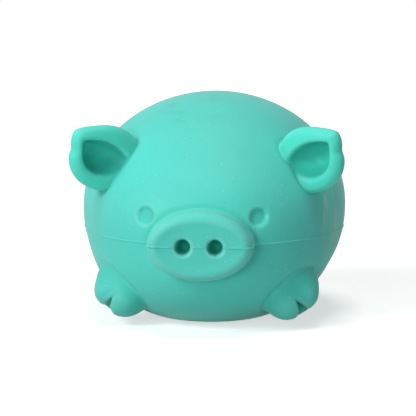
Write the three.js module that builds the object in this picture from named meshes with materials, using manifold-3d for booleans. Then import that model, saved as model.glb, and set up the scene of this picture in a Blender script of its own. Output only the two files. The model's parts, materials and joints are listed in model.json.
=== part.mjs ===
// A squeeze toy pig, in millimetres: a soft rubber skin round a soft filling.
// +Z is up and the snout points to -Y. The origin is under the middle of the toy, on the surface that
// it rests on.
import * as THREE from 'three';
import { mergeVertices } from 'three/addons/utils/BufferGeometryUtils.js';
import Module from 'manifold-3d';

const wasm = await Module();
wasm.setup();

// Body: a fat egg that leans back, higher at the rump than at the chin.
const BODY_WIDTH = 70.6;
const BODY_LENGTH = 66;
const BODY_HEIGHT = 59.2;
const BODY_CROWN_FULLNESS = 1.98; // 2 is an ellipsoid, more is boxier
const BODY_BELLY_FULLNESS = 2.2;
const BODY_LEAN = 0.16; // millimetres further back for each millimetre higher

// Head: a second, lower swelling in front of the body, with full cheeks.
const HEAD_WIDTH = 60.6;
const HEAD_LENGTH = 52;
const HEAD_HEIGHT = 44;
const HEAD_BROW_FULLNESS = 2.5;
const HEAD_CHIN_FULLNESS = 2.3;
const HEAD_FORWARD = 13; // from the body's middle to the head's
const NECK_BLEND = 4; // how softly the head runs into the body

// Moulding
const WALL = 3;
const PARTING_HEIGHT = 23; // where the two mould halves met
const REST_FLAT = 0.6; // how deep the belly is flattened where the toy stands
const GAP = 0.3; // between neighbouring pieces

// Snout
const SNOUT_WIDTH = 26.4;
const SNOUT_HEIGHT = 17.5;
const SNOUT_STANDS = 4.6; // in front of the head
const SNOUT_FLARE = 0.14; // how much wider the snout grows for each millimetre back from its face
const SNOUT_ROOT = 10; // how far back the snout reaches round the curve of the head
const RIM_WIDTH = 4.2; // of the raised roll round the face of the snout
const RIM_ROUND = 2; // radius of its outer edge
const DISH_DEPTH = 0.9; // how far the face is sunk inside the rim
const NOSTRIL_WIDTH = 3.6;
const NOSTRIL_HEIGHT = 4.1;
const NOSTRIL_DEPTH = 3.4; // straight part, from the dished face
const NOSTRIL_POINT = 1; // the coned bottom beyond it
const NOSTRIL_SPACING = 8; // between the middles
const NOSTRIL_TAPER = 0.75; // share of the mouth's radius that is left where the cone starts
const NOSTRIL_BEVEL = 0.5; // how much wider the mouth opens at the dished face

// Eyes: two flat-bottomed dimples
const EYE_DIAMETER = 4;
const EYE_DEPTH = 0.8;
const EYE_SPACING = 28.2;
const EYE_HEIGHT = 29.6;

// Ears: thick round flaps with one sharp corner, hollowed at the front
const EAR_WIDTH = 20.4; // the inner third of it is inside the head
const EAR_HEIGHT = 16.8;
const EAR_THICKNESS = 5.4;
const EAR_EDGE_ROUND = 1.6;
const EAR_INSET = 9.25; // from the body's side in to the ear's middle
const EAR_MIDDLE_HEIGHT = 42.6;
const EAR_FORWARD = 20.55; // ahead of the body's middle
const EAR_TURN = 28.3; // degrees that the ear faces inwards
const EAR_LEAN = 3.9; // degrees that its top leans forwards
const EAR_ROLL = 2.3; // degrees that its outer side is tipped up
const EAR_TIP_ANGLE = 47.6; // degrees above level, where the sharp corner is
const EAR_TIP_SHARE = 0.22; // how far the corner stands out of the round outline
const EAR_TIP_SPREAD = 24; // degrees to either side over which the corner fades away
const EAR_TIP_POINTED = 1.5; // 2 is a soft bump, 1 a sharp corner
const EAR_RIM = 3.6; // rubber left round the cup
const EAR_BACK_WALL = 1.8;
const EAR_BACK_CROWN = 0.35; // share of the thickness that the back loses towards the outline
const CUP_OUTWARD = 1.1; // how far the cup is moved away from the head
const CUP_WIDER = 0.55; // on either side, towards the head and towards the corner
const CUP_TIP_SHARE = 0.36; // how far the cup reaches into the corner
const CUP_SLOPE = 0.16; // how much the cup narrows for each millimetre of depth
const CUP_RISE = 0.22; // how much its floor rises for each millimetre below its middle

// Legs: short stubs that end in two toes, the outer one smaller and higher than the inner one
const TOE_LENGTH = 9.5;
const OUTER_TOE_WIDTH = 6.4;
const OUTER_TOE_HEIGHT = 7.7;
const OUTER_TOE_OUT = 2.3; // from the middle of the foot
const OUTER_TOE_BACK = 0.2;
const OUTER_TOE_UP = 0.5;
const INNER_TOE_WIDTH = 9.1;
const INNER_TOE_HEIGHT = 9;
const INNER_TOE_IN = 3.35;
const INNER_TOE_AHEAD = 0.1;
const INNER_TOE_DOWN = 0.75;
const SHANK_WIDTH = 15.3;
const SHANK_LENGTH = 15.8;
const SHANK_HEIGHT = 15.9;
const SHANK_BEHIND = 4.1; // from the toes back to the middle of the shank
const SHANK_ABOVE = 2.9;
const TOE_BLEND = 2.1; // how softly the two toes merge
const ANKLE_BLEND = 3;
const FRONT_LEG = { inset: 12.1, behind: -25.15, height: 7.5, heading: 28.3 };
const REAR_LEG = { inset: 13.1, behind: 16, height: 5.2, heading: 65 };

// Notch between the toes: a wedge that widens downwards and leans outwards
const NOTCH_IN = 0.27; // from the middle of the foot in to the point of the wedge
const NOTCH_DOWN = 0.5; // from the middle of the foot down to its point
const NOTCH_BACK = 0.3; // from the middle of the foot back to the end of the wedge
const NOTCH_LEAN = 0.47; // millimetres further out for each millimetre down
const NOTCH_HALF_ANGLE = 30; // degrees

// Tail: a curl that lies on the rump
const TAIL_THICKNESS = 3;
const TAIL_TIP_THICKNESS = 1.8;
const TAIL_LOOP = 11; // across the curl, middle to middle
const TAIL_TIP_LOOP = 3.8; // across the inner end of the curl
const TAIL_START = -100; // degrees, where the curl leaves the rump
const TAIL_TURN = 420; // degrees
const TAIL_END_ROUND = 8; // the higher, the shorter the rounding at its two ends
const TAIL_END_SHARE = 0.25; // share of the thickness that is left at the very end
const TAIL_HEIGHT = 31;
const TAIL_STANDS = 2.2; // out of the rump

// Filling hole and its stopper, in the underside behind the flat
const PLUG_BEHIND = 10; // behind the body's middle, so that it clears the floor
const PLUG_HEAD = 9.2;
const PLUG_HEAD_THICKNESS = 1.2;
const PLUG_SHANK = 6;
const PLUG_SUNK = 0.5; // of the stopper's face below the skin around it

// Facets
const TRUNK_COLUMNS = 48;
const TRUNK_ROWS = 28;
const INNER_COLUMNS = 30;
const INNER_ROWS = 18;
const LIMB_COLUMNS = 22;
const LIMB_ROWS = 14;
const EAR_COLUMNS = 32;
const EAR_ROWS = 16;
const SNOUT_SEGMENTS = 44;
const PLUG_SEGMENTS = 28;
const DIMPLE_SEGMENTS = 20;
const CURVE_POINTS = 6;
const TAIL_RINGS = 26;
const TAIL_SIDES = 8;
const SLOPE_STEP = 0.05; // millimetres to either side, where a slope is measured

const rubber = new THREE.MeshStandardMaterial({ color: 0x62d6c8, roughness: 0.55, metalness: 0 });
const stopperRubber = new THREE.MeshStandardMaterial({ color: 0x55c4b6, roughness: 0.5, metalness: 0 });
const softFilling = new THREE.MeshStandardMaterial({ color: 0xe4ead9, roughness: 0.35, metalness: 0 });

// The rump leans back, so its rearmost point is higher than the body's middle. The body is placed so
// that the origin ends up halfway between the face of the snout and the tail.
const bodyHalf = new THREE.Vector3(BODY_WIDTH / 2, BODY_LENGTH / 2, BODY_HEIGHT / 2);
const headHalf = new THREE.Vector3(HEAD_WIDTH / 2, HEAD_LENGTH / 2, HEAD_HEIGHT / 2);
const noseReach = HEAD_FORWARD + headHalf.y + SNOUT_STANDS;
const rumpReach = Math.hypot(bodyHalf.y, BODY_LEAN * bodyHalf.z) + TAIL_STANDS;
const bodyY = (noseReach - rumpReach) / 2;
const bodyMiddle = new THREE.Vector3(0, bodyY, bodyHalf.z - REST_FLAT);
const headMiddle = new THREE.Vector3(0, bodyY - HEAD_FORWARD, headHalf.z - REST_FLAT);

// Distances: each function says roughly how far a point lies outside a form, negative inside.
function oval(x, y, z, half, fullnessAbove = 2, fullnessBelow = 2) {
  const level = Math.hypot(x / half.x, y / half.y);
  const fullness = z > 0 ? fullnessAbove : fullnessBelow;
  const share = (level ** fullness + Math.abs(z / half.z) ** fullness) ** (1 / fullness);
  return Math.hypot(x, y, z) * (1 - 1 / Math.max(share, 1e-6));
}

function blend(a, b, width) {
  const h = THREE.MathUtils.clamp(0.5 + (0.5 * (b - a)) / width, 0, 1);
  return b + (a - b) * h - width * h * (1 - h);
}

function trunk(p) {
  const rise = p.z - bodyMiddle.z;
  const back = p.y - bodyMiddle.y - BODY_LEAN * rise;
  const body = oval(p.x, back, rise, bodyHalf, BODY_CROWN_FULLNESS, BODY_BELLY_FULLNESS);
  const head = oval(
    p.x, p.y - headMiddle.y, p.z - headMiddle.z,
    headHalf, HEAD_BROW_FULLNESS, HEAD_CHIN_FULLNESS,
  );
  return blend(body, head, NECK_BLEND);
}

// A skin drawn over a form: every point of a sphere moves straight out from the middle until it meets
// the form's surface, or a surface that lies `outside` millimetres further out.
function swell(form, middle, columns, rows, outside = 0) {
  const geometry = new THREE.SphereGeometry(1, columns, rows);
  geometry.rotateX(Math.PI / 2);
  const position = geometry.attributes.position;
  const direction = new THREE.Vector3();
  const point = new THREE.Vector3();
  for (let i = 0; i < position.count; i += 1) {
    direction.fromBufferAttribute(position, i).normalize();
    let inside = 0;
    let beyond = BODY_WIDTH + BODY_LENGTH + BODY_HEIGHT;
    while (beyond - inside > 1e-4) {
      const reach = (inside + beyond) / 2;
      point.copy(direction).multiplyScalar(reach).add(middle);
      if (form(point) < outside) inside = reach;
      else beyond = reach;
    }
    point.copy(direction).multiplyScalar(inside).add(middle);
    position.setXYZ(i, point.x, point.y, point.z);
  }
  return geometry;
}

// Solids for cutting and joining
function solidOf(geometry) {
  const bare = geometry.clone();
  bare.deleteAttribute('normal');
  bare.deleteAttribute('uv');
  const merged = mergeVertices(bare, 1e-4);
  const vertProperties = new Float32Array(merged.attributes.position.array);
  const triVerts = [];
  const index = merged.index.array;
  for (let i = 0; i < index.length; i += 3) {
    const [a, b, c] = [index[i], index[i + 1], index[i + 2]];
    if (a !== b && b !== c && c !== a) triVerts.push(a, b, c);
  }
  const mesh = new wasm.Mesh({ numProp: 3, vertProperties, triVerts: new Uint32Array(triVerts) });
  return new wasm.Manifold(mesh);
}

function geometryOf(solid) {
  const mesh = solid.getMesh();
  const geometry = new THREE.BufferGeometry();
  geometry.setAttribute('position', new THREE.Float32BufferAttribute(mesh.vertProperties, mesh.numProp));
  geometry.setIndex(new THREE.Uint32BufferAttribute(mesh.triVerts, 1));
  geometry.computeVertexNormals();
  return geometry;
}

// A turned form: its outline is given as a path of (radius, distance along the axis). The axis is
// laid along a direction, starting at a point.
function turned(path, segments, at, direction, widen = 1) {
  const geometry = new THREE.LatheGeometry(path.getPoints(CURVE_POINTS), segments);
  geometry.scale(widen, 1, 1);
  const turn = new THREE.Quaternion().setFromUnitVectors(new THREE.Vector3(0, 1, 0), direction);
  geometry.applyQuaternion(turn);
  geometry.translate(at.x, at.y, at.z);
  return geometry;
}

function slopeOf(form, p) {
  const across = (axis) => {
    const ahead = p.clone().addScaledVector(axis, SLOPE_STEP);
    const back = p.clone().addScaledVector(axis, -SLOPE_STEP);
    return form(ahead) - form(back);
  };
  const x = across(new THREE.Vector3(1, 0, 0));
  const y = across(new THREE.Vector3(0, 1, 0));
  const z = across(new THREE.Vector3(0, 0, 1));
  return new THREE.Vector3(x, y, z).normalize();
}

// The point where a straight line from inside the trunk comes out of it
function surfaceFrom(start, direction) {
  let inside = 0;
  let beyond = BODY_WIDTH + BODY_LENGTH;
  while (beyond - inside > 1e-4) {
    const reach = (inside + beyond) / 2;
    if (trunk(start.clone().addScaledVector(direction, reach)) < 0) inside = reach;
    else beyond = reach;
  }
  return start.clone().addScaledVector(direction, inside);
}

const forwards = new THREE.Vector3(0, -1, 0);
const backwards = new THREE.Vector3(0, 1, 0);

// Big blocks that stand for the space above the floor and either side of the parting plane
function spaceBetween(low, high) {
  const size = 2 * (BODY_WIDTH + BODY_LENGTH);
  const geometry = new THREE.BoxGeometry(size, size, high - low);
  geometry.translate(0, 0, (low + high) / 2);
  return solidOf(geometry);
}

const outer = solidOf(swell(trunk, bodyMiddle, TRUNK_COLUMNS, TRUNK_ROWS));
const cleared = solidOf(swell(trunk, bodyMiddle, TRUNK_COLUMNS, TRUNK_ROWS, GAP));
const hollow = solidOf(swell(trunk, bodyMiddle, INNER_COLUMNS, INNER_ROWS, -WALL));
const core = solidOf(swell(trunk, bodyMiddle, INNER_COLUMNS, INNER_ROWS, -WALL - GAP));
const tall = BODY_HEIGHT + HEAD_HEIGHT;
const aboveFloor = spaceBetween(0, tall);
const upperHalf = spaceBetween(PARTING_HEIGHT, tall);
const lowerHalf = spaceBetween(0, PARTING_HEIGHT);
const aboveInnerFloor = spaceBetween(WALL - REST_FLAT, tall);
const aboveFillingFloor = spaceBetween(WALL - REST_FLAT + GAP, tall);

// Eye dimples
function eyeDimple(side) {
  const start = new THREE.Vector3((side * EYE_SPACING) / 2, headMiddle.y, EYE_HEIGHT);
  const at = surfaceFrom(start, forwards);
  const out = slopeOf(trunk, at);
  const path = new THREE.Path();
  path.moveTo(0, -EYE_DEPTH);
  path.lineTo(EYE_DIAMETER / 2 - EYE_DEPTH / 2, -EYE_DEPTH);
  path.lineTo(EYE_DIAMETER / 2, 0);
  path.lineTo(EYE_DIAMETER / 2 + EYE_DEPTH, EYE_DEPTH);
  path.lineTo(0, EYE_DEPTH);
  return solidOf(turned(path, DIMPLE_SEGMENTS, at, out));
}

// Snout: turned on its own axis and then widened, so its rim and dish are ovals
const snoutFace = new THREE.Vector3(0, bodyY - noseReach, PARTING_HEIGHT);
const snoutWiden = SNOUT_WIDTH / SNOUT_HEIGHT;

function snoutBlank() {
  const radius = SNOUT_HEIGHT / 2;
  const path = new THREE.Path();
  path.moveTo(0, -SNOUT_ROOT);
  path.lineTo(radius + SNOUT_FLARE * SNOUT_ROOT, -SNOUT_ROOT);
  path.lineTo(radius, -RIM_ROUND);
  path.quadraticCurveTo(radius, 0, radius - RIM_ROUND, 0);
  path.bezierCurveTo(
    radius - RIM_WIDTH / 2, 0,
    radius - RIM_WIDTH / 2, -DISH_DEPTH,
    radius - RIM_WIDTH, -DISH_DEPTH,
  );
  path.lineTo(0, -DISH_DEPTH);
  return solidOf(turned(path, SNOUT_SEGMENTS, snoutFace, forwards, snoutWiden));
}

function nostril(side) {
  const radius = NOSTRIL_HEIGHT / 2;
  const mouth = new THREE.Path();
  mouth.moveTo(0, -NOSTRIL_DEPTH - NOSTRIL_POINT);
  mouth.lineTo(radius * NOSTRIL_TAPER, -NOSTRIL_DEPTH);
  mouth.lineTo(radius, -2 * NOSTRIL_BEVEL);
  mouth.lineTo(radius + NOSTRIL_BEVEL, 0);
  mouth.lineTo(radius + NOSTRIL_BEVEL, DISH_DEPTH * 2);
  mouth.lineTo(0, DISH_DEPTH * 2);
  const at = snoutFace.clone();
  at.x = (side * NOSTRIL_SPACING) / 2;
  at.y += DISH_DEPTH;
  return solidOf(turned(mouth, DIMPLE_SEGMENTS, at, forwards, NOSTRIL_WIDTH / NOSTRIL_HEIGHT));
}

const nostrils = nostril(-1).add(nostril(1));
const snoutSolid = snoutBlank().subtract(cleared).subtract(nostrils);

// Filling hole and stopper, square to the skin of the underside
const plugStart = new THREE.Vector3(0, bodyY + PLUG_BEHIND, bodyMiddle.z);
const plugAt = surfaceFrom(plugStart, new THREE.Vector3(0, 0, -1));
const plugOut = slopeOf(trunk, plugAt);

function stopper(clearance, sunk, inner) {
  const head = PLUG_HEAD / 2 + clearance;
  const shank = PLUG_SHANK / 2 + clearance;
  const step = -PLUG_SUNK - PLUG_HEAD_THICKNESS - clearance;
  const path = new THREE.Path();
  path.moveTo(0, inner);
  path.lineTo(shank, inner);
  path.lineTo(shank, step);
  path.lineTo(head, step);
  path.lineTo(head, sunk);
  path.lineTo(0, sunk);
  return solidOf(turned(path, PLUG_SEGMENTS, plugAt, plugOut));
}

const fillHole = stopper(GAP, PLUG_HEAD_THICKNESS, -2 * WALL);
const plugSolid = stopper(0, -PLUG_SUNK, -WALL);

// Skin halves and filling
const shell = outer
  .subtract(hollow.intersect(aboveInnerFloor))
  .subtract(eyeDimple(-1))
  .subtract(eyeDimple(1))
  .subtract(nostrils);
const skinUpperSolid = shell.intersect(upperHalf);
const skinLowerSolid = shell.intersect(lowerHalf).subtract(fillHole);
const fillingSolid = core.intersect(aboveFillingFloor);

// Ear: u runs away from the head, v up, and w from the open front to the back of the flap.
const earMiddle = new THREE.Vector3(bodyHalf.x - EAR_INSET, bodyY - EAR_FORWARD, EAR_MIDDLE_HEIGHT);
const earPose = new THREE.Matrix4()
  .makeTranslation(earMiddle.x, earMiddle.y, earMiddle.z)
  .multiply(new THREE.Matrix4().makeRotationZ(THREE.MathUtils.degToRad(-EAR_TURN)))
  .multiply(new THREE.Matrix4().makeRotationX(THREE.MathUtils.degToRad(EAR_LEAN)))
  .multiply(new THREE.Matrix4().makeRotationY(THREE.MathUtils.degToRad(-EAR_ROLL)));

// How far out a point of the ear's plane lies: 1 on an oval outline with one sharp corner
function earOutline(u, v, halfWidth, halfHeight, tipShare) {
  const angle = Math.atan2(v / halfHeight, u / halfWidth);
  const fromTip = Math.abs(angle - THREE.MathUtils.degToRad(EAR_TIP_ANGLE));
  const round = Math.min(fromTip, 2 * Math.PI - fromTip);
  const spread = THREE.MathUtils.degToRad(EAR_TIP_SPREAD);
  const corner = 1 + tipShare * Math.exp(-((round / spread) ** EAR_TIP_POINTED));
  return Math.hypot(u / halfWidth, v / halfHeight) / corner;
}

function roundedSlab(flat, thick, radius) {
  const a = Math.max(flat + radius, 0);
  const b = Math.max(thick + radius, 0);
  return Math.hypot(a, b) + Math.min(Math.max(flat + radius, thick + radius), 0) - radius;
}

function earFlap(u, v, w) {
  const outline = earOutline(u, v, EAR_WIDTH / 2, EAR_HEIGHT / 2, EAR_TIP_SHARE);
  const flat = ((outline - 1) * Math.min(EAR_WIDTH, EAR_HEIGHT)) / 2;
  const crown = w > 0 ? EAR_BACK_CROWN * EAR_THICKNESS * Math.min(outline, 1) ** 2 : 0;
  return roundedSlab(flat, Math.abs(w) + crown - EAR_THICKNESS / 2, EAR_EDGE_ROUND);
}

function earCup(u, v, w) {
  const halfHeight = EAR_HEIGHT / 2 - EAR_RIM;
  const halfWidth = EAR_WIDTH / 2 - EAR_RIM - CUP_OUTWARD + CUP_WIDER;
  const outline = earOutline(u - CUP_OUTWARD, v, halfWidth, halfHeight, CUP_TIP_SHARE);
  const front = w + EAR_THICKNESS / 2;
  const sides = (outline - 1) * halfHeight + CUP_SLOPE * front;
  const floor = w - EAR_THICKNESS / 2 + EAR_BACK_WALL + CUP_RISE * Math.max(-v, 0);
  return roundedSlab(sides, Math.max(floor, -front - EAR_THICKNESS / 2), EAR_EDGE_ROUND / 2);
}

// The ear is swollen lying on its back, with the sphere's poles in the middle of its front and back, so
// that the columns run round its outline. Then it is stood up and put in its place.
function earForm(form, middle) {
  const geometry = swell((p) => form(p.x, -p.y, p.z), middle, EAR_COLUMNS, EAR_ROWS);
  geometry.rotateX(-Math.PI / 2);
  return solidOf(geometry.applyMatrix4(earPose));
}

function earSolid() {
  const flap = earForm(earFlap, new THREE.Vector3());
  const cup = earForm(earCup, new THREE.Vector3(CUP_OUTWARD, 0, -EAR_THICKNESS / 4));
  return flap.subtract(cup).subtract(cleared);
}

// Leg: s runs out to the outer toe, f towards the toes and z up, from the middle of the foot.
function footPlace(leg) {
  const heading = THREE.MathUtils.degToRad(leg.heading);
  const outwards = new THREE.Vector3(Math.cos(heading), Math.sin(heading), 0);
  const ahead = new THREE.Vector3(Math.sin(heading), -Math.cos(heading), 0);
  const at = new THREE.Vector3(bodyHalf.x - leg.inset, bodyY + leg.behind, leg.height);
  return { at, outwards, ahead };
}

function legForm(place) {
  const outerHalf = new THREE.Vector3(OUTER_TOE_WIDTH / 2, TOE_LENGTH / 2, OUTER_TOE_HEIGHT / 2);
  const innerHalf = new THREE.Vector3(INNER_TOE_WIDTH / 2, TOE_LENGTH / 2, INNER_TOE_HEIGHT / 2);
  const shankHalf = new THREE.Vector3(SHANK_WIDTH / 2, SHANK_LENGTH / 2, SHANK_HEIGHT / 2);
  return (p) => {
    const from = p.clone().sub(place.at);
    const s = from.dot(place.outwards);
    const f = from.dot(place.ahead);
    const outerToe = oval(s - OUTER_TOE_OUT, f + OUTER_TOE_BACK, from.z - OUTER_TOE_UP, outerHalf);
    const innerToe = oval(s + INNER_TOE_IN, f - INNER_TOE_AHEAD, from.z + INNER_TOE_DOWN, innerHalf);
    const shank = oval(s, f + SHANK_BEHIND, from.z - SHANK_ABOVE, shankHalf);
    return blend(shank, blend(outerToe, innerToe, TOE_BLEND), ANKLE_BLEND);
  };
}

function notchSolid(place) {
  const wide = SHANK_HEIGHT * Math.tan(THREE.MathUtils.degToRad(NOTCH_HALF_ANGLE));
  const foot = NOTCH_LEAN * SHANK_HEIGHT - NOTCH_IN;
  const wedge = new THREE.Shape();
  wedge.moveTo(-NOTCH_IN, -NOTCH_DOWN);
  wedge.lineTo(foot - wide, -NOTCH_DOWN - SHANK_HEIGHT);
  wedge.lineTo(foot + wide, -NOTCH_DOWN - SHANK_HEIGHT);
  wedge.closePath();
  const geometry = new THREE.ExtrudeGeometry(wedge, { depth: SHANK_LENGTH, bevelEnabled: false });
  geometry.translate(0, 0, -NOTCH_BACK);
  const upwards = new THREE.Vector3(0, 0, 1);
  geometry.applyMatrix4(new THREE.Matrix4().makeBasis(place.outwards, upwards, place.ahead));
  geometry.translate(place.at.x, place.at.y, place.at.z);
  return solidOf(geometry);
}

function legSolid(leg) {
  const place = footPlace(leg);
  const middle = place.at.clone().addScaledVector(place.ahead, -SHANK_BEHIND / 2);
  middle.z += SHANK_ABOVE / 2;
  const whole = solidOf(swell(legForm(place), middle, LIMB_COLUMNS, LIMB_ROWS));
  return whole.subtract(notchSolid(place)).subtract(cleared).intersect(aboveFloor);
}

// Tail: rings of a round section along a spiral, half sunk in the rump
function tailSolid() {
  const points = [];
  const index = [];
  for (let i = 0; i <= TAIL_RINGS; i += 1) {
    const share = i / TAIL_RINGS;
    const angle = THREE.MathUtils.degToRad(TAIL_START + TAIL_TURN * share);
    const loop = THREE.MathUtils.lerp(TAIL_LOOP, TAIL_TIP_LOOP, share) / 2;
    const taper = Math.max(Math.sqrt(1 - (2 * share - 1) ** TAIL_END_ROUND), TAIL_END_SHARE);
    const thick = (THREE.MathUtils.lerp(TAIL_THICKNESS, TAIL_TIP_THICKNESS, share) / 2) * taper;
    const start = new THREE.Vector3(loop * Math.cos(angle), bodyY, TAIL_HEIGHT + loop * Math.sin(angle));
    const onRump = surfaceFrom(start, backwards);
    const out = slopeOf(trunk, onRump);
    const middle = onRump.addScaledVector(out, TAIL_STANDS - TAIL_THICKNESS / 2);
    const round = new THREE.Vector3(Math.cos(angle), 0, Math.sin(angle));
    for (let j = 0; j < TAIL_SIDES; j += 1) {
      const about = (2 * Math.PI * j) / TAIL_SIDES;
      const point = middle.clone().addScaledVector(round, thick * Math.cos(about));
      point.addScaledVector(out, thick * Math.sin(about));
      points.push(point.x, point.y, point.z);
      if (i < TAIL_RINGS) {
        const a = i * TAIL_SIDES + j;
        const b = i * TAIL_SIDES + ((j + 1) % TAIL_SIDES);
        index.push(a, b, b + TAIL_SIDES, a, b + TAIL_SIDES, a + TAIL_SIDES);
      }
    }
  }
  const last = TAIL_RINGS * TAIL_SIDES;
  for (let j = 1; j < TAIL_SIDES - 1; j += 1) {
    index.push(0, j + 1, j, last, last + j, last + j + 1);
  }
  const geometry = new THREE.BufferGeometry();
  geometry.setAttribute('position', new THREE.Float32BufferAttribute(points, 3));
  geometry.setIndex(index);
  return solidOf(geometry).subtract(cleared);
}

// Assembly
const pig = new THREE.Group();
pig.name = 'pig_squeeze_toy';

function addPiece(name, solid, material) {
  const mesh = new THREE.Mesh(geometryOf(solid), material);
  mesh.name = name;
  pig.add(mesh);
}

function addPair(name, solid) {
  addPiece(`${name}_left`, solid, rubber);
  addPiece(`${name}_right`, solid.mirror([1, 0, 0]), rubber);
}

addPiece('skin_lower', skinLowerSolid, rubber);
addPiece('skin_upper', skinUpperSolid, rubber);
addPiece('filling', fillingSolid, softFilling);
addPiece('fill_plug', plugSolid, stopperRubber);
addPiece('snout', snoutSolid, rubber);
addPair('ear', earSolid());
addPair('front_leg', legSolid(FRONT_LEG));
addPair('rear_leg', legSolid(REAR_LEG));
addPiece('tail', tailSolid(), rubber);

export default pig;
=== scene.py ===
# %% [markdown]
# # A soft rubber pig
#
# The real toy is a squeeze toy that fills a hand: one skin of thermoplastic rubber (TPR), moulded in
# two halves of a steel mould, round a soft filling. Body, head, snout, legs, ears and tail are one
# moulding and flow into each other. The only lines on it are the fine flash where the mould halves
# met, and shallow creases round the roots of the legs, ears and snout. So the looks are made the way
# the rubber is: one skin for body and head, and pieces that grow out of it with a fillet each.
#
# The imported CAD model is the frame. It says where everything is and how it moves.

import json
import math

import bpy
import numpy as np
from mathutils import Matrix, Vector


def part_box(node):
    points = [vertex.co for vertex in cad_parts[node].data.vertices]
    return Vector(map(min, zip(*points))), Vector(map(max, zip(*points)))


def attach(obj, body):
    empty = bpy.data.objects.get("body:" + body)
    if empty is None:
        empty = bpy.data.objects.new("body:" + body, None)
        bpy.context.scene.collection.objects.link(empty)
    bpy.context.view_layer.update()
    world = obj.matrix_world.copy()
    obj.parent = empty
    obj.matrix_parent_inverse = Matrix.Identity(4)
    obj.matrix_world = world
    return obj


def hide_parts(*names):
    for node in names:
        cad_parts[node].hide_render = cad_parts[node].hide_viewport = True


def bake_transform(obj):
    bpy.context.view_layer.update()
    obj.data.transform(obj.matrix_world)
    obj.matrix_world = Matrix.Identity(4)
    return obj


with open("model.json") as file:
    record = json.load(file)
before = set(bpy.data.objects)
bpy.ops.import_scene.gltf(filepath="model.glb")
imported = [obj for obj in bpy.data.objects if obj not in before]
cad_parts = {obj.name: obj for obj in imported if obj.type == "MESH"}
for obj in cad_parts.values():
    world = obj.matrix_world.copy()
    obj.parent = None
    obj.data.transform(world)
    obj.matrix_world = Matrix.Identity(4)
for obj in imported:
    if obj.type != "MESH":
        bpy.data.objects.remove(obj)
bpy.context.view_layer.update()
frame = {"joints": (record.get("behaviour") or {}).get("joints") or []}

# %% [markdown]
# ## Millimetres, and where the frame says things are
#
# A toy this small is easiest to think of in millimetres, so all its sizes are in millimetres and
# only the last step, which makes a Blender mesh, turns them to metres. The studio round it is laid
# out in metres. The main places are read off the frame's own nodes: the parting line is the top of
# the lower half of the skin, and the snout's face is the front of the snout.

# %% Read the main places off the frame
MM = 0.001


def box_mm(node):
    low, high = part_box(node)
    return np.array(low) / MM, np.array(high) / MM


SKIN_TOP = box_mm("skin_upper")[1][2]
PARTING_HEIGHT = box_mm("skin_lower")[1][2]
SNOUT_FACE = box_mm("snout")[0][1]
print(f"skin top {SKIN_TOP:.2f}, parting line {PARTING_HEIGHT:.2f}, snout face at y {SNOUT_FACE:.2f}")

# %% [markdown]
# ## Shapes as distances
#
# A moulded soft toy has hardly a flat or a straight line, and every join is a fillet. Pushing the
# vertices of a sphere about would give pinches at the snout and the ears. Metaballs give soft joins
# but no sharp ear tip or dished snout. A distance field gives both: each form is a function that
# says how far a point lies outside it, two forms merge over a chosen width, which is the fillet, and
# one is carved out of another the same way.

# %% Merge, carve and the basic forms
TINY = 1e-6


def merge(a, b, width):
    """Both forms together, with a fillet about as wide as width where they meet."""
    h = np.clip(0.5 + 0.5 * (b - a) / width, 0, 1)
    return b + (a - b) * h - width * h * (1 - h)


def carve(a, b, width):
    """The first form without the second, with its new edge rounded."""
    return -merge(-a, b, width)


def oval(x, y, z, size, above=2.0, below=2.0):
    """An egg. Fullness 2 is an ellipsoid, and more is boxier, above and below the middle."""
    level = np.hypot(2 * x / size[0], 2 * y / size[1])
    fullness = np.where(z > 0, above, below)
    share = (level**fullness + np.abs(2 * z / size[2]) ** fullness) ** (1 / fullness)
    return np.sqrt(x * x + y * y + z * z) * (1 - 1 / np.maximum(share, TINY))


def plate(flat, thick, radius):
    """A flat form with rounded edges, from its distances in its plane and across it."""
    a = np.maximum(flat + radius, 0)
    b = np.maximum(thick + radius, 0)
    return np.hypot(a, b) + np.minimum(np.maximum(flat, thick) + radius, 0) - radius


def outside_ellipse(x, z, across, up):
    """How far a point lies outside an ellipse with these half widths."""
    share = np.hypot(x / across, z / up)
    slope = np.hypot(x / across**2, z / up**2)
    return share * (share - 1) / np.maximum(slope, TINY)


def soft_step(height, share):
    """A rise to this height while share goes from 0 to 1, level at both ends."""
    return height * share * share * (3 - 2 * share)


def last_inside(inside, beyond, is_inside, rounds):
    """Where a form ends between two places, by halving the distance again and again."""
    for _ in range(rounds):
        middle = (inside + beyond) / 2
        hit = is_inside(middle)
        inside, beyond = np.where(hit, middle, inside), np.where(hit, beyond, middle)
    return inside


# %% [markdown]
# ## Body and head
#
# The body is a fat egg that leans back a little, and the head is a second, lower swelling in front
# of it with full cheeks. The two are merged over 4 mm, so that there is no neck. The belly is cut
# off flat where the toy stands.

# %% The body and head
BODY = (70.6, 66.0, 59.2)
BODY_FULLNESS = {"above": 1.98, "below": 2.2}
HEAD = (60.6, 52.0, 44.0)
HEAD_FULLNESS = {"above": 2.5, "below": 2.3}
HEAD_FORWARD = 13.0
NECK_BLEND = 4.0
SNOUT_STANDS = 4.6
LEAN = 0.16
REST_FLAT = BODY[2] - SKIN_TOP
BODY_Y = SNOUT_FACE + SNOUT_STANDS + HEAD[1] / 2 + HEAD_FORWARD


def trunk(x, y, z):
    rise = z - (BODY[2] / 2 - REST_FLAT)
    body = oval(x, y - BODY_Y - LEAN * rise, rise, BODY, **BODY_FULLNESS)
    chin = z - (HEAD[2] / 2 - REST_FLAT)
    head = oval(x, y - BODY_Y + HEAD_FORWARD, chin, HEAD, **HEAD_FULLNESS)
    return merge(body, head, NECK_BLEND)


print(f"the body's middle is at y {BODY_Y:.2f}, and its belly is flattened by {REST_FLAT:.2f}")

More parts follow.
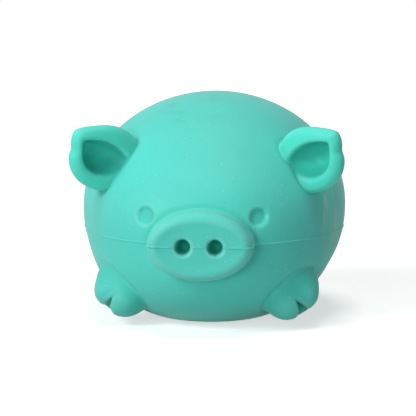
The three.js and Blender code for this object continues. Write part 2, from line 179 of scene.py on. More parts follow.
# %% [markdown]
# ## Snout
#
# The snout is an oval button on the front of the head. Its face has a rolled rim and is dished
# inside it, and its side flares a little towards the head, which lets it out of the mould. It could
# be a spun profile scaled to an oval, but as a distance it gets its fillet to the head for nothing.
# The nostrils are deep pits with a soft edge, a slight taper and a coned bottom, as a pin in the
# mould leaves them.

# %% The snout and its nostrils
SNOUT_SIZE = (26.3, 17.3)
SNOUT_HEIGHT = PARTING_HEIGHT
SNOUT_LENGTH = 14.0
SNOUT_FLARE = 0.03
FLARE_FROM, FLARE_RUN = 1.0, 8.0
RIM_WIDTH = 4.8
RIM_ROUND = 2.7
DISH_DEPTH = 0.4
NOSTRIL_SPACING = 8.0
NOSTRIL_RADIUS = 2.05
NOSTRIL_SQUEEZE = 0.96
NOSTRIL_DEPTH = 4.0
NOSTRIL_TAPER = 0.25
NOSTRIL_POINT = 1.0
NOSTRIL_ROUND = 0.6


def snout_form(x, y, z):
    back = y - SNOUT_FACE
    up = z - SNOUT_HEIGHT
    flare = SNOUT_FLARE * np.clip(back - FLARE_FROM, 0, FLARE_RUN)
    side = outside_ellipse(x, up, SNOUT_SIZE[0] / 2 + flare, SNOUT_SIZE[1] / 2 + flare)
    dish = soft_step(DISH_DEPTH, np.clip(-side / RIM_WIDTH, 0, 1))
    return np.maximum(plate(side, dish - back, RIM_ROUND), back - SNOUT_LENGTH)


def nostril_form(x, y, z):
    deep = y - SNOUT_FACE - DISH_DEPTH
    away = np.hypot((np.abs(x) - NOSTRIL_SPACING / 2) / NOSTRIL_SQUEEZE, z - SNOUT_HEIGHT)
    radius = NOSTRIL_RADIUS * (1 - NOSTRIL_TAPER * np.clip(deep / NOSTRIL_DEPTH, 0, 1))
    cone = NOSTRIL_POINT * np.clip(1 - away / NOSTRIL_RADIUS, 0, 1)
    return plate(away - radius, deep - NOSTRIL_DEPTH - cone, NOSTRIL_ROUND)


print(f"the snout is {SNOUT_SIZE[0]} by {SNOUT_SIZE[1]} mm at its face")

# %% [markdown]
# ## Eyes
#
# Each eye is only a shallow round dimple with a flat bottom and a soft edge, so it is a small step
# added to the distance of the skin, where the skin is near the axis of that eye.

# %% The eye dimples
EYE_SPACING = 28.2
EYE_HEIGHT = 29.6
EYE_RADIUS = 1.7
EYE_BEVEL = 0.65
EYE_DEPTH = 0.8


def eye_dimple(x, y, z):
    away = np.hypot(np.abs(x) - EYE_SPACING / 2, z - EYE_HEIGHT)
    inwards = np.clip((EYE_RADIUS + EYE_BEVEL - away) / EYE_BEVEL, 0, 1)
    return np.where(y < BODY_Y, soft_step(EYE_DEPTH, inwards), 0)


print(f"eyes {EYE_SPACING} mm apart and {EYE_HEIGHT} mm up")

# %% [markdown]
# ## Stopper
#
# The filling goes in through a hole in the underside, which a small rubber stopper closes: a thin
# round head, sunk half a millimetre below the skin, on a shank. Its place is read off the frame's
# node, and it is laid square to the skin there. The same functions make the recess and the stopper.

# %% The stopper and its recess
plug_low, plug_high = box_mm("fill_plug")
plug_x, plug_y = (plug_low[0] + plug_high[0]) / 2, (plug_low[1] + plug_high[1]) / 2
PLUG_HEAD = 9.2
PLUG_HEAD_THICK = 1.2
PLUG_HEAD_EDGE = 0.35
PLUG_SHANK = 6.0
SHANK_MIDDLE, SHANK_HALF = 2.2, 1.6
PLUG_EDGE = 0.3
PLUG_SUNK = 0.5
PLUG_ROOM = 0.15
RECESS_MOUTH = 1.5

plug_z = 0.0
for _ in range(8):
    plug_z += float(trunk(plug_x, plug_y, plug_z))
feel = 0.05
tilt = float(trunk(plug_x, plug_y + feel, plug_z) - trunk(plug_x, plug_y - feel, plug_z))
drop = float(trunk(plug_x, plug_y, plug_z + feel) - trunk(plug_x, plug_y, plug_z - feel))
plug_out = np.array([0.0, tilt, drop]) / math.hypot(tilt, drop)
plug_at = np.array([plug_x, plug_y, plug_z])


def plug_parts(x, y, z, room):
    """Head and shank with some room round them; deep is how far a point lies below the skin."""
    deep = -((y - plug_at[1]) * plug_out[1] + (z - plug_at[2]) * plug_out[2])
    beside = (y - plug_at[1]) * plug_out[2] - (z - plug_at[2]) * plug_out[1]
    away = np.hypot(x - plug_at[0], beside)
    thick = np.abs(deep - (PLUG_SUNK + PLUG_HEAD_THICK / 2)) - PLUG_HEAD_THICK / 2
    head = plate(away - PLUG_HEAD / 2 - room, thick - room, PLUG_HEAD_EDGE)
    long = np.abs(deep - SHANK_MIDDLE) - SHANK_HALF
    shank = plate(away - PLUG_SHANK / 2 - room, long - room, PLUG_EDGE)
    return head, shank, away, deep


def stopper_form(x, y, z):
    head, shank = plug_parts(x, y, z, 0.0)[:2]
    return merge(head, shank, PLUG_EDGE)


def recess_form(x, y, z):
    head, shank, away, deep = plug_parts(x, y, z, PLUG_ROOM)
    mouth = plate(away - PLUG_HEAD / 2 - PLUG_ROOM, np.abs(deep) - RECESS_MOUTH, PLUG_EDGE)
    return np.minimum(np.minimum(head, shank), mouth)


print("the stopper is at", plug_at.round(2), "and faces", plug_out.round(2))

# %% [markdown]
# ## Ears
#
# Each ear is a thick flap with one corner, up and out, a small nick under the corner, a front and a
# back that are slightly domed, and a bowl sunk in the front. The bowl runs outwards and up as it
# gets deeper. A lobe of rubber cuts its upper inner side short, and its lower inner side has no rim:
# there it gets shallow and opens towards the head. The flap faces inwards by 32 degrees, so the head
# hides its inner edge. All of it is written in the ear's own directions: u runs away from the head,
# v runs up, and w runs from the open front to the back.

# %% The ears
EAR = (20.7, 17.1, 6.8)
EAR_SPACING = 52.5
EAR_FORWARD = 20.2
EAR_HEIGHT = 42.6
EAR_TURN = math.radians(-32)
EAR_LEAN = math.radians(-3.9)
EAR_ROLL = math.radians(2.3)
EAR_INNER_SHARE = 0.9
CUP_INNER_SHARE = 1.1
CUP_LOBE = 4.3
LOBE_UP, LOBE_INWARDS = 0.8, 0.6
LOBE_CORNER = 5
EAR_EDGE = 1.5
EAR_FRONT = -3.2
EAR_TIP_ANGLE = math.radians(44.5)
EAR_TIP_SPREAD = math.radians(20)
EAR_TIP_SHARE = 0.22
EAR_TIP_POWER = 1.5
CUP_TIP_SHARE = 0.36
NICK_BELOW = math.radians(27.5)
NICK_SPREAD = math.radians(9)
NICK_SHARE = 0.045
EAR_RIM = 4.1
CUP_OUTWARD = 1.1
CUP_WIDER = 0.55
CUP_FULLNESS = 2.5
CUP_RISE = 0.4
RISE_INWARDS, RISE_WITHIN = 0.6, 9.0
CUP_SLANT = 0.3
CUP_EDGE = 1.7
EAR_BACK_WALL = 1.3
EAR_BACK_CROWN = 2.0
EAR_FRONT_CROWN = 1.4


def ear_directions(x, y, z):
    dx = np.abs(x) - EAR_SPACING / 2
    dy = y - BODY_Y + EAR_FORWARD
    dz = z - EAR_HEIGHT
    out = dx * math.cos(EAR_TURN) + dy * math.sin(EAR_TURN)
    back = dy * math.cos(EAR_TURN) - dx * math.sin(EAR_TURN)
    w = back * math.cos(EAR_LEAN) - dz * math.sin(EAR_LEAN)
    up = back * math.sin(EAR_LEAN) + dz * math.cos(EAR_LEAN)
    u = out * math.cos(EAR_ROLL) + up * math.sin(EAR_ROLL)
    v = up * math.cos(EAR_ROLL) - out * math.sin(EAR_ROLL)
    return u, v, w


def ear_outline(u, v, across, high, tip_share, nick_share=0.0, inner_share=1.0):
    """1 on a round outline with one corner and a small nick just below it, less inside it."""
    across = np.where(u < 0, across * inner_share, across)
    angle = np.arctan2(v / high, u / across) - EAR_TIP_ANGLE
    angle = np.arctan2(np.sin(angle), np.cos(angle))
    corner = 1 + tip_share * np.exp(-((np.abs(angle) / EAR_TIP_SPREAD) ** EAR_TIP_POWER))
    corner = corner - nick_share * np.exp(-(((angle + NICK_BELOW) / NICK_SPREAD) ** 2))
    return np.hypot(u / across, v / high) / corner


def ear_form(x, y, z, cup=True):
    u, v, w = ear_directions(x, y, z)
    across, high, half = EAR[0] / 2, EAR[1] / 2, EAR[2] / 2
    w = w - EAR_FRONT - half
    outline = ear_outline(u, v, across, high, EAR_TIP_SHARE, NICK_SHARE, EAR_INNER_SHARE)
    edge = np.minimum(outline, 1)
    crown = np.where(w > 0, EAR_BACK_CROWN * edge**2, EAR_FRONT_CROWN * edge**3)
    flap = plate((outline - 1) * high, np.abs(w) + crown - half, EAR_EDGE)
    if not cup:
        return flap
    deep = np.maximum(w + half, 0)
    cup_u, cup_v = u - CUP_OUTWARD - CUP_SLANT * deep, v - CUP_SLANT * deep
    cup_across = across - EAR_RIM - CUP_OUTWARD + CUP_WIDER
    inner = ear_outline(cup_u, cup_v, cup_across, high - EAR_RIM, CUP_TIP_SHARE, 0.0, CUP_INNER_SHARE)
    beyond = np.maximum(1 + (LOBE_UP * cup_v - LOBE_INWARDS * cup_u - CUP_LOBE) / high * 2, 0)
    inner = (inner**LOBE_CORNER + beyond**LOBE_CORNER) ** (1 / LOBE_CORNER)
    depth = EAR[2] - EAR_BACK_WALL - CUP_RISE * np.clip(-v - RISE_INWARDS * u, 0, RISE_WITHIN)
    bowl = (inner**CUP_FULLNESS + (deep / depth) ** CUP_FULLNESS) ** (1 / CUP_FULLNESS)
    return carve(flap, (bowl - 1) * depth, CUP_EDGE)


print(f"an ear is {EAR[0]} by {EAR[1]} mm and {EAR[2]} mm thick")

# %% [markdown]
# ## Legs
#
# A leg is a stub that grows out of the belly and ends in two toes, the outer one smaller and higher.
# They are three eggs merged softly, with a small wedge cut in between the toes from below, where the
# mould had a fin. s runs out to the outer toe, and f runs the way the toes point. An egg is given by
# its middle, along s, f and up, and by its size.

# %% The legs
FRONT_LEG = {"across": 23.2, "behind": -25.15, "height": 7.5, "heading": math.radians(28.3)}
REAR_LEG = {"across": 22.2, "behind": 16.0, "height": 5.2, "heading": math.radians(65)}
OUTER_TOE = ((1.9, -0.2, 0.9), (7.4, 9.5, 7.2))
INNER_TOE = ((-2.6, 0.1, -0.9), (9.6, 9.5, 8.8))
STUB = ((-0.9, -3.8, 2.7), (17.2, 14.6, 15.9))
TOE_BLEND = 1.4
ANKLE_BLEND = 2.4
NOTCH_TOP = 0.3
NOTCH_BACK = -0.3
NOTCH_ACROSS = -1.9
NOTCH_LEAN = 1.0
NOTCH_HALF_ANGLE = math.radians(32)
NOTCH_STEEP = 0.7
NOTCH_ROUND = 0.5
NOTCH_EDGE = 0.9


def leg_form(x, y, z, leg, notch=True):
    dx = np.abs(x) - leg["across"]
    dy = y - BODY_Y - leg["behind"]
    dz = z - leg["height"]
    f = dx * math.sin(leg["heading"]) - dy * math.cos(leg["heading"])
    s = dx * math.cos(leg["heading"]) + dy * math.sin(leg["heading"])
    outer, inner, stub = (
        oval(s - across, f - ahead, dz - up, size)
        for (across, ahead, up), size in (OUTER_TOE, INNER_TOE, STUB)
    )
    whole = merge(stub, merge(outer, inner, TOE_BLEND), ANKLE_BLEND)
    if not notch:
        return whole
    down = NOTCH_TOP - dz
    beside = np.abs(s - NOTCH_ACROSS - NOTCH_LEAN * down)
    wedge = (beside - down * math.tan(NOTCH_HALF_ANGLE)) * NOTCH_STEEP
    return carve(whole, plate(wedge, NOTCH_BACK - f, NOTCH_ROUND), NOTCH_EDGE)


print(f"front toes at x {FRONT_LEG['across']:.1f}, rear toes at x {REAR_LEG['across']:.1f}")

# %% [markdown]
# ## Creases and skin
#
# Along the roots of the legs, the ears and the snout the mould was cut a little deeper into the body,
# which leaves a shallow crease, nearly half a millimetre deep. The skin is the body with its creases
# and eye dimples, less the nostrils, the stopper's recess and the flat that the toy rests on.

# %% The skin of the body
CREASE_DEPTH = 0.45
CREASE_WIDTH = 1.0
NOSTRIL_EDGE = 0.8
RECESS_EDGE = 0.5
FLOOR_EDGE = 1.0


def body_form(x, y, z):
    """Body and head, sunk a little in the eyes and all along the roots of legs, ears and snout."""
    front = leg_form(x, y, z, FRONT_LEG, notch=False)
    rear = leg_form(x, y, z, REAR_LEG, notch=False)
    from_root = np.minimum(np.minimum(front, rear), np.minimum(ear_form(x, y, z), snout_form(x, y, z)))
    crease = CREASE_DEPTH * np.exp(-((from_root / CREASE_WIDTH) ** 2))
    return trunk(x, y, z) + crease + eye_dimple(x, y, z)


def skin_form(x, y, z):
    pitted = carve(body_form(x, y, z), nostril_form(x, y, z), NOSTRIL_EDGE)
    return carve(carve(pitted, recess_form(x, y, z), RECESS_EDGE), z, FLOOR_EDGE)


print(f"creases {CREASE_DEPTH} mm deep")

# %% [markdown]
# ## Tail
#
# The tail is a curl that lies on the rump like a small spring pressed flat. Its middle line is a
# spiral, pushed out from inside the body until it meets the skin, and the distance to that line less
# the tail's own radius gives a tube with round ends.

# %% The tail's middle line and its form
TAIL_THICK, TAIL_TIP_THICK = 3.0, 1.8
TAIL_LOOP, TAIL_TIP_LOOP = 11.0, 3.8
TAIL_START, TAIL_TURN = math.radians(-100), math.radians(420)
TAIL_HEIGHT = 31.0
TAIL_STANDS = 2.2
TAIL_POINTS = 90
TAIL_POINTED = 0.25

share = np.linspace(0, 1, TAIL_POINTS)
angle = TAIL_START + TAIL_TURN * share
loop = (TAIL_LOOP + (TAIL_TIP_LOOP - TAIL_LOOP) * share) / 2
tail_x = loop * np.cos(angle)
tail_z = TAIL_HEIGHT + loop * np.sin(angle)
rump_y = last_inside(
    np.full_like(tail_x, BODY_Y),
    np.full_like(tail_x, BODY_Y + BODY[1]),
    lambda y: trunk(tail_x, y, tail_z) < 0,
    rounds=30,
)
tail_y = rump_y + TAIL_STANDS - TAIL_THICK / 2
tail_radius = (TAIL_THICK + (TAIL_TIP_THICK - TAIL_THICK) * share) / 2 * (1 - TAIL_POINTED * share**6)


def tail_form(x, y, z):
    nearest = np.full(np.broadcast(x, y, z).shape, np.inf)
    for px, py, pz, radius in zip(tail_x, tail_y, tail_z, tail_radius):
        nearest = np.minimum(nearest, np.sqrt((x - px) ** 2 + (y - py) ** 2 + (z - pz) ** 2) - radius)
    return nearest


tail_length = np.sum(np.sqrt(np.diff(tail_x) ** 2 + np.diff(tail_y) ** 2 + np.diff(tail_z) ** 2))
print(f"the tail's middle line is {tail_length:.1f} mm long")

# %% [markdown]
# ## From distances to a mesh
#
# Blender can turn a volume into a mesh, but its marching cubes leave slivers that show in a glossy
# rubber. Surface nets give nearly square faces instead. Space is cut into small cells. A cell that
# the surface passes through gets one vertex, at the middle of the places where the surface crosses
# its edges, and each crossed edge gets one face, between the four cells round it. The distances are
# worked out a few slices of space at a time, which saves memory.

# %% Surface nets
SLICES = 8


def distances_on_grid(form, low, step, counts):
    axes = [low[a] + step * np.arange(counts[a]) for a in range(3)]
    values = np.empty(counts)
    for first in range(0, counts[0], SLICES):
        x, y, z = np.meshgrid(axes[0][first : first + SLICES], axes[1], axes[2], indexing="ij")
        values[first : first + SLICES] = form(x, y, z)
    return values


def surface_net(form, low, high, step):
    low = np.array(low, float)
    counts = np.ceil((np.array(high) - low) / step).astype(int) + 1
    values = distances_on_grid(form, low, step, counts)
    places, cells, quads = [], [], []
    for a in range(3):
        b, c = (a + 1) % 3, (a + 2) % 3
        near = np.take(values, range(counts[a] - 1), axis=a)
        far = np.take(values, range(1, counts[a]), axis=a)
        edge = np.argwhere((near < 0) != (far < 0))
        first, second = near[tuple(edge.T)], far[tuple(edge.T)]
        place = edge.astype(float)
        place[:, a] += first / (first - second)
        around = []
        for shift_b, shift_c in ((-1, -1), (0, -1), (0, 0), (-1, 0)):
            cell = edge.copy()
            cell[:, b] += shift_b
            cell[:, c] += shift_c
            around.append(np.ravel_multi_index(cell.T, counts))
            places.append(place)
        quad = np.stack(around, axis=1)
        quads.append(np.where((first < 0)[:, None], quad, quad[:, ::-1]))
        cells.extend(around)
    places, quads = np.concatenate(places), np.concatenate(quads)
    used, index = np.unique(np.concatenate(cells), return_inverse=True)
    weight = np.bincount(index)
    points = np.stack([np.bincount(index, places[:, a]) / weight for a in range(3)], axis=1)
    return low + step * points, np.searchsorted(used, quads)


# %% [markdown]
# The vertices start within a cell of the surface. Each is pulled onto it along the slope of the
# distance, and between pulls it slides towards the middle of its neighbours, which evens the faces
# out. A small step to either side gives the slope, as a feeler would.

# %% Settle the vertices on the surface
FEEL = 0.02
SLIDE_SHARE = 0.6
LEAST_STEEP = 0.05
LONGEST_PULL = 0.5


def slope(form, points):
    parts = []
    for a in range(3):
        step = np.zeros(3)
        step[a] = FEEL
        ahead, back = (points + step).T, (points - step).T
        parts.append((form(*ahead) - form(*back)) / (2 * FEEL))
    return np.stack(parts, axis=1)


def edge_ends(quads):
    """Both ends of each side of each face."""
    return quads.ravel(), np.roll(quads, -1, axis=1).ravel()


def settle(form, points, quads, rounds=3):
    """Slide and pull in turn, and pull once more at the end."""
    one, other = edge_ends(quads)
    shared = np.bincount(one, minlength=len(points)) + np.bincount(other, minlength=len(points))
    for left in range(rounds, -1, -1):
        if left:
            sums = [np.bincount(one, along[other]) + np.bincount(other, along[one]) for along in points.T]
            slide = np.stack(sums, axis=1) / shared[:, None] - points
            out = slope(form, points)
            out /= np.maximum(np.linalg.norm(out, axis=1), TINY)[:, None]
            points = points + SLIDE_SHARE * (slide - out * np.sum(slide * out, axis=1)[:, None])
        for _ in range(2):
            out = slope(form, points)
            steep = np.maximum(np.sum(out * out, axis=1), LEAST_STEEP)
            pull = out * (form(*points.T) / steep)[:, None]
            length = np.linalg.norm(pull, axis=1)
            points = points - pull * np.minimum(1, LONGEST_PULL / np.maximum(length, TINY))[:, None]
    return points


# %% [markdown]
# A mesh must be closed to count as a solid, so the faces at each edge are counted. No edge is open.
# A few have four faces in place of two, where the surface passes twice through one cell: nearly all
# of them in the thin skirts and roots under the skin, or along the top of the narrow cleft between
# two toes.
#
# The place of each vertex at rest is kept in the mesh, in millimetres. The rubber's pattern reads
# it, so the specks stay in the rubber when the toy is squeezed. Three more values go with each
# vertex, because the rubber's colour is painted from them: how sharply the surface bulges out there,
# for the dust and painted sheen on edges, how deep it lies in a recess, for the painted shade there,
# and how far out on a thin ear it is, for the painted light through the ear. Three millimetres inside
# the form as it would be without its hollows gets the full painted shade.

# %% Make Blender meshes from points and faces
FULL_SHADE_DEPTH = 3.0
EVENING_ROUNDS = 4


def linked(name, data):
    """An object in the scene for a mesh, a lamp or a camera."""
    made = bpy.data.objects.new(name, data)
    bpy.context.scene.collection.objects.link(made)
    return made


def roundness(points, quads):
    """How sharply the surface bulges out at each vertex, in 1/mm, evened out over the neighbours."""
    one, other = edge_ends(quads)
    ends, others = np.concatenate([one, other]), np.concatenate([other, one])
    shared = np.bincount(ends, minlength=len(points))
    corners = points[quads]
    across = np.cross(corners[:, 2] - corners[:, 0], corners[:, 3] - corners[:, 1])
    gaps, facing = np.zeros_like(points), np.zeros_like(points)
    for a in range(3):
        gaps[:, a] = np.bincount(ends, points[others, a] - points[ends, a], len(points)) / shared
        facing[:, a] = np.bincount(quads.ravel(), np.repeat(across[:, a], 4), len(points))
    facing /= np.maximum(np.linalg.norm(facing, axis=1), TINY)[:, None]
    spread = np.bincount(ends, np.sum((points[others] - points[ends]) ** 2, axis=1), len(points)) / shared
    bulge = -2 * np.sum(gaps * facing, axis=1) / np.maximum(spread, TINY)
    for _ in range(EVENING_ROUNDS):
        bulge = (bulge + np.bincount(ends, bulge[others], len(points)) / shared) / 2
    return bulge


def make_piece(name, points, quads, hollow=None, thin=None):
    mesh = bpy.data.meshes.new(name)
    mesh.from_pydata((points * MM).tolist(), [], quads.tolist())
    rest = mesh.attributes.new("rest_mm", "FLOAT_VECTOR", "POINT")
    rest.data.foreach_set("vector", points.astype(np.float32).ravel())
    bulge = mesh.attributes.new("bulge", "FLOAT", "POINT")
    bulge.data.foreach_set("value", roundness(points, quads).astype(np.float32))
    # The painted shade of the recesses and the painted light through the ears go in as two more values.
    for title, values in (("hollow", hollow), ("thin", thin)):
        values = np.zeros(len(points)) if values is None else values
        mesh.attributes.new(title, "FLOAT", "POINT").data.foreach_set("value", values.astype(np.float32))
    mesh.polygons.foreach_set("use_smooth", [True] * len(mesh.polygons))
    mesh.update()
    edges = np.sort(np.stack(edge_ends(quads), axis=1), axis=1)
    at_edge = np.unique(edges, axis=0, return_counts=True)[1]
    open_edges, fourfold = int(np.sum(at_edge % 2)), int(np.sum(at_edge == 4))
    print(f"{name}: {len(quads)} faces, {open_edges} open edges, {fourfold} edges with four faces")
    return linked(name, mesh)


def moulded(name, form, low, high, step, filled=None, thinness=None):
    """A piece, with painted shade from how deep each point lies in a recess: filled is the form without its
    hollows.
    """
    points, quads = surface_net(form, low, high, step)
    points = settle(form, points, quads)
    # Painted shade, from how deep the point lies below the form without its hollows.
    hollow = np.clip(-filled(*points.T) / FULL_SHADE_DEPTH, 0, 1) if filled else None
    return make_piece(name, points, quads, hollow, thinness(*points.T) if thinness else None)


def mirrored(name, piece):
    """The same piece on the other side of the toy."""
    mesh = piece.data
    points = np.empty(len(mesh.vertices) * 3)
    mesh.vertices.foreach_get("co", points)
    quads = np.empty(len(mesh.polygons) * 4, int)
    mesh.loops.foreach_get("vertex_index", quads)
    points = points.reshape(-1, 3) / MM * (-1, 1, 1)
    hollow, thin = np.empty(len(points)), np.empty(len(points))
    mesh.attributes["hollow"].data.foreach_get("value", hollow)
    mesh.attributes["thin"].data.foreach_get("value", thin)
    return make_piece(name, points, quads.reshape(-1, 4)[:, ::-1], hollow, thin)


# %% [markdown]
# ## How the pieces join
#
# The real toy is one moulding. Here the snout, each leg, the tail and each ear is a piece of its
# own, because a user of the part may want to move or repaint it. So that no seam shows, each of them
# brings its own fillet: a thin skirt that runs out along the skin and dives under it. Below the skin
# the piece goes on for a few millimetres, so it is a closed solid and light scatters in it as it
# does in the body.

# %% Grow a form out of the skin
SNOUT_FILLET = 0.5
LEG_FILLET = 0.9
TAIL_FILLET = 0.9
EAR_FILLET = 0.4
ROOT_DEPTH = 2.5
SKIRT_SUNK = 0.03
SKIRT = 1.2


def rooted(form, fillet):
    def joined(x, y, z):
        body = body_form(x, y, z)
        own = form(x, y, z)
        top = carve(merge(own, body + SKIRT_SUNK, fillet), z, FLOOR_EDGE)
        return np.maximum(np.maximum(top, -body - ROOT_DEPTH), own - fillet - SKIRT)

    return joined


# %% [markdown]
# Each piece is now made inside a box of cells. The cells are 0.6 mm wide for the body and smaller for
# the pieces with finer edges. The feet get painted shade all over, as if all of their surface lay
# 0.7 mm deep in a recess. In the cup of an ear the depth counts 1.6 times for the painted shade, as it
# gets dark there sooner, but for no more than 2 mm, because light comes through the thin flap too.

# %% Make the body
# The body's painted shade is its depth below the plain body and head: in creases, eye dimples, nostrils and
# recess.
body_skin = moulded(
    "body_skin", skin_form, low=(-37, -38, -1.5), high=(37, 43, 61), step=0.6, filled=trunk
)

# %% Make the snout
# The snout's painted shade is its depth below the plain snout and head, in the nostrils.
snout_button = moulded(
    "snout_button",
    lambda *p: carve(rooted(snout_form, SNOUT_FILLET)(*p), nostril_form(*p), NOSTRIL_EDGE),
    low=(-19, -41, 9),
    high=(19, -24, 38),
    step=0.4,
    filled=lambda *p: np.minimum(trunk(*p), snout_form(*p)),
)

# %% Make the legs
# Painted shade over all of each foot, as if it lay this deep in a recess.
FOOT_SHADE_DEPTH = 0.7


def leg_piece(name, leg):
    x, y = leg["across"], BODY_Y + leg["behind"]
    return moulded(
        name,
        rooted(lambda *p: leg_form(*p, leg), LEG_FILLET),
        low=(x - 15, y - 12, -1),
        high=(x + 12, y + 17, 24),
        step=0.45,
        filled=lambda *p: leg_form(*p, leg, notch=False) - FOOT_SHADE_DEPTH,
    )


front_leg_left = leg_piece("stub_front_left", FRONT_LEG)
front_leg_right = mirrored("stub_front_right", front_leg_left)
rear_leg_left = leg_piece("stub_rear_left", REAR_LEG)
rear_leg_right = mirrored("stub_rear_right", rear_leg_left)

# %% Make the tail
curled_tail = moulded(
    "curled_tail",
    rooted(tail_form, TAIL_FILLET),
    low=(-9, tail_y.min() - 4, 22),
    high=(9, tail_y.max() + 3, 40),
    step=0.35,
)

# %% Make the ears
# Painted shade in the cup of an ear: its depth counts more, up to a limit.
CUP_SHADE_COUNTS = 1.6
CUP_SHADE_DEEPEST = 2.0
THIN_FROM_HEAD = 3.0

ear_flap_left = moulded(
    "ear_flap_left",
    rooted(ear_form, EAR_FILLET),
    low=(14, -32, 30),
    high=(40, -4, 56),
    step=0.4,
    filled=lambda *p: np.maximum(CUP_SHADE_COUNTS * ear_form(*p, cup=False), -CUP_SHADE_DEEPEST),
    thinness=lambda *p: np.clip(trunk(*p) / THIN_FROM_HEAD, 0, 1),
)
ear_flap_right = mirrored("ear_flap_right", ear_flap_left)

# %% [markdown]
# ## Mould line
#
# Where the two halves of the mould met, a little rubber crept between them and left a fine raised
# line, level all round the toy and across the face of the snout. It is a thread about 0.4 mm wide
# that stands 0.2 mm out of the surface, a little more on the snout. Its path is found by looking in
# from outside at its height, every twentieth of a degree, and it stops at the nostrils, where the
# mould had pins.

# %% The path of the mould line
LINE_RADIUS = 0.22
LINE_SHOWS = 0.2
LINE_STEP = 0.4
PROUDER = 0.06
PROUDER_WITHIN, PROUDER_FADE = 4.0, 1.5
NOSTRIL_CLEAR = 0.3
RAY_STEP, RAY_LENGTH = 0.05, 60.0


def outer_form(x, y, z):
    """The skin with its snout, but without the pits of the nostrils."""
    return merge(body_form(x, y, z), snout_form(x, y, z), SNOUT_FILLET)


turn = np.radians(np.arange(0, 360, RAY_STEP))
ray_x, ray_y = np.sin(turn), -np.cos(turn)
reach = last_inside(
    np.zeros_like(turn),
    np.full_like(turn, RAY_LENGTH),
    lambda away: outer_form(away * ray_x, BODY_Y + away * ray_y, PARTING_HEIGHT) < 0,
    rounds=36,
)
ring = np.stack([reach * ray_x, BODY_Y + reach * ray_y, np.full_like(reach, PARTING_HEIGHT)], axis=1)
walked = np.concatenate([[0], np.cumsum(np.linalg.norm(np.diff(ring, axis=0), axis=1))])
even = np.linspace(0, walked[-1], round(walked[-1] / LINE_STEP), endpoint=False)
ring = np.stack([np.interp(even, walked, ring[:, a]) for a in range(3)], axis=1)
out = slope(outer_form, ring)
out /= np.linalg.norm(out, axis=1)[:, None]
prouder = PROUDER * np.clip((SNOUT_FACE + PROUDER_WITHIN - ring[:, 1]) / PROUDER_FADE, 0, 1)
ring = ring + out * (LINE_SHOWS - LINE_RADIUS + prouder)[:, None]
clear = nostril_form(*ring.T) > NOSTRIL_CLEAR
print(f"the mould line is {walked[-1]:.0f} mm long, less {int(np.sum(~clear))} points at the nostrils")

# %% The thread along it
SIDES = 8
END_SUNK, END_STEPS = 0.3, 2.5
END_FACES = ((0, 1, 2, 3), (0, 3, 4, 7), (7, 4, 5, 6))
points, quads = [], []
starts = [i for i in range(len(ring)) if clear[i] and not clear[i - 1]]
for start in starts:
    run = []
    while clear[(start + len(run)) % len(ring)]:
        run.append((start + len(run)) % len(ring))
    first = len(points)
    for step, i in enumerate(run):
        ends = min(step, len(run) - 1 - step)
        sunk = END_SUNK * max(0.0, 1 - ends / END_STEPS) ** 2
        along = ring[(i + 1) % len(ring)] - ring[i - 1]
        along /= np.linalg.norm(along)
        up = np.cross(along, out[i])
        for j in range(SIDES):
            about = 2 * math.pi * j / SIDES
            ahead = out[i] * (LINE_RADIUS * math.cos(about) - sunk)
            points.append(ring[i] + ahead + up * LINE_RADIUS * math.sin(about))
    for step in range(len(run) - 1):
        for j in range(SIDES):
            a, b = first + step * SIDES + j, first + step * SIDES + (j + 1) % SIDES
            quads.append((a, a + SIDES, b + SIDES, b))
    last = first + (len(run) - 1) * SIDES
    quads += [tuple(first + j for j in face) for face in END_FACES]
    quads += [tuple(last + j for j in face[::-1]) for face in END_FACES]
mould_line = make_piece("mould_line", np.array(points), np.array(quads))

# %% [markdown]
# ## The filling and its stopper
#
# Inside the skin is a soft gel that gives the toy its weight and its slow return. It is the same
# form as the body, 3.3 mm further in. It doesn't show from outside, but it is there when the part is
# opened.

# %% The filling
WALL = 3.0
GAP = 0.3
FILLING_EDGE = 2.0


def filling_form(x, y, z):
    return carve(trunk(x, y, z) + WALL + GAP, z - (WALL - REST_FLAT + GAP), FILLING_EDGE)


gel_filling = moulded("gel_filling", filling_form, low=(-35, -34, 0), high=(35, 40, 58), step=1.5)

# %% The stopper
stopper = moulded("stopper", stopper_form, low=plug_at - (7, 7, 5), high=plug_at + (7, 7, 7), step=0.3)

# %% [markdown]
# ## Colours
#
# A colour given as hex is an sRGB value, and Blender's shaders want linear light, so one function
# turns a hex value into linear numbers.

# %% Hex to linear, and one function that adds a node


def linear(hex_colour):
    values = [int(hex_colour[i : i + 2], 16) / 255 for i in (1, 3, 5)]
    return [v / 12.92 if v <= 0.04045 else ((v + 0.055) / 1.055) ** 2.4 for v in values] + [1.0]


def add(tree, kind, settings=None, **inputs):
    """One node, with its settings, and each input either a value or linked from another node."""
    made = tree.nodes.new(kind)
    for name, value in (settings or {}).items():
        setattr(made, name, value)
    for name, value in inputs.items():
        name = name.replace("_", " ")
        key = int(name[1:]) if name[0] == "i" and name[1:].isdigit() else name
        if isinstance(value, bpy.types.NodeSocket):
            tree.links.new(value, made.inputs[key])
        else:
            made.inputs[key].default_value = value
    return made


TIMES = {"operation": "MULTIPLY"}
MIX_COLOURS = {"data_type": "RGBA"}
SMOOTH = {"interpolation_type": "SMOOTHSTEP"}


def new_tree(name):
    material = bpy.data.materials.new(name)
    material.use_nodes = True
    material.node_tree.nodes.clear()
    return material, material.node_tree


print("mint as linear light:", [round(v, 3) for v in linear("#36d8ca")])

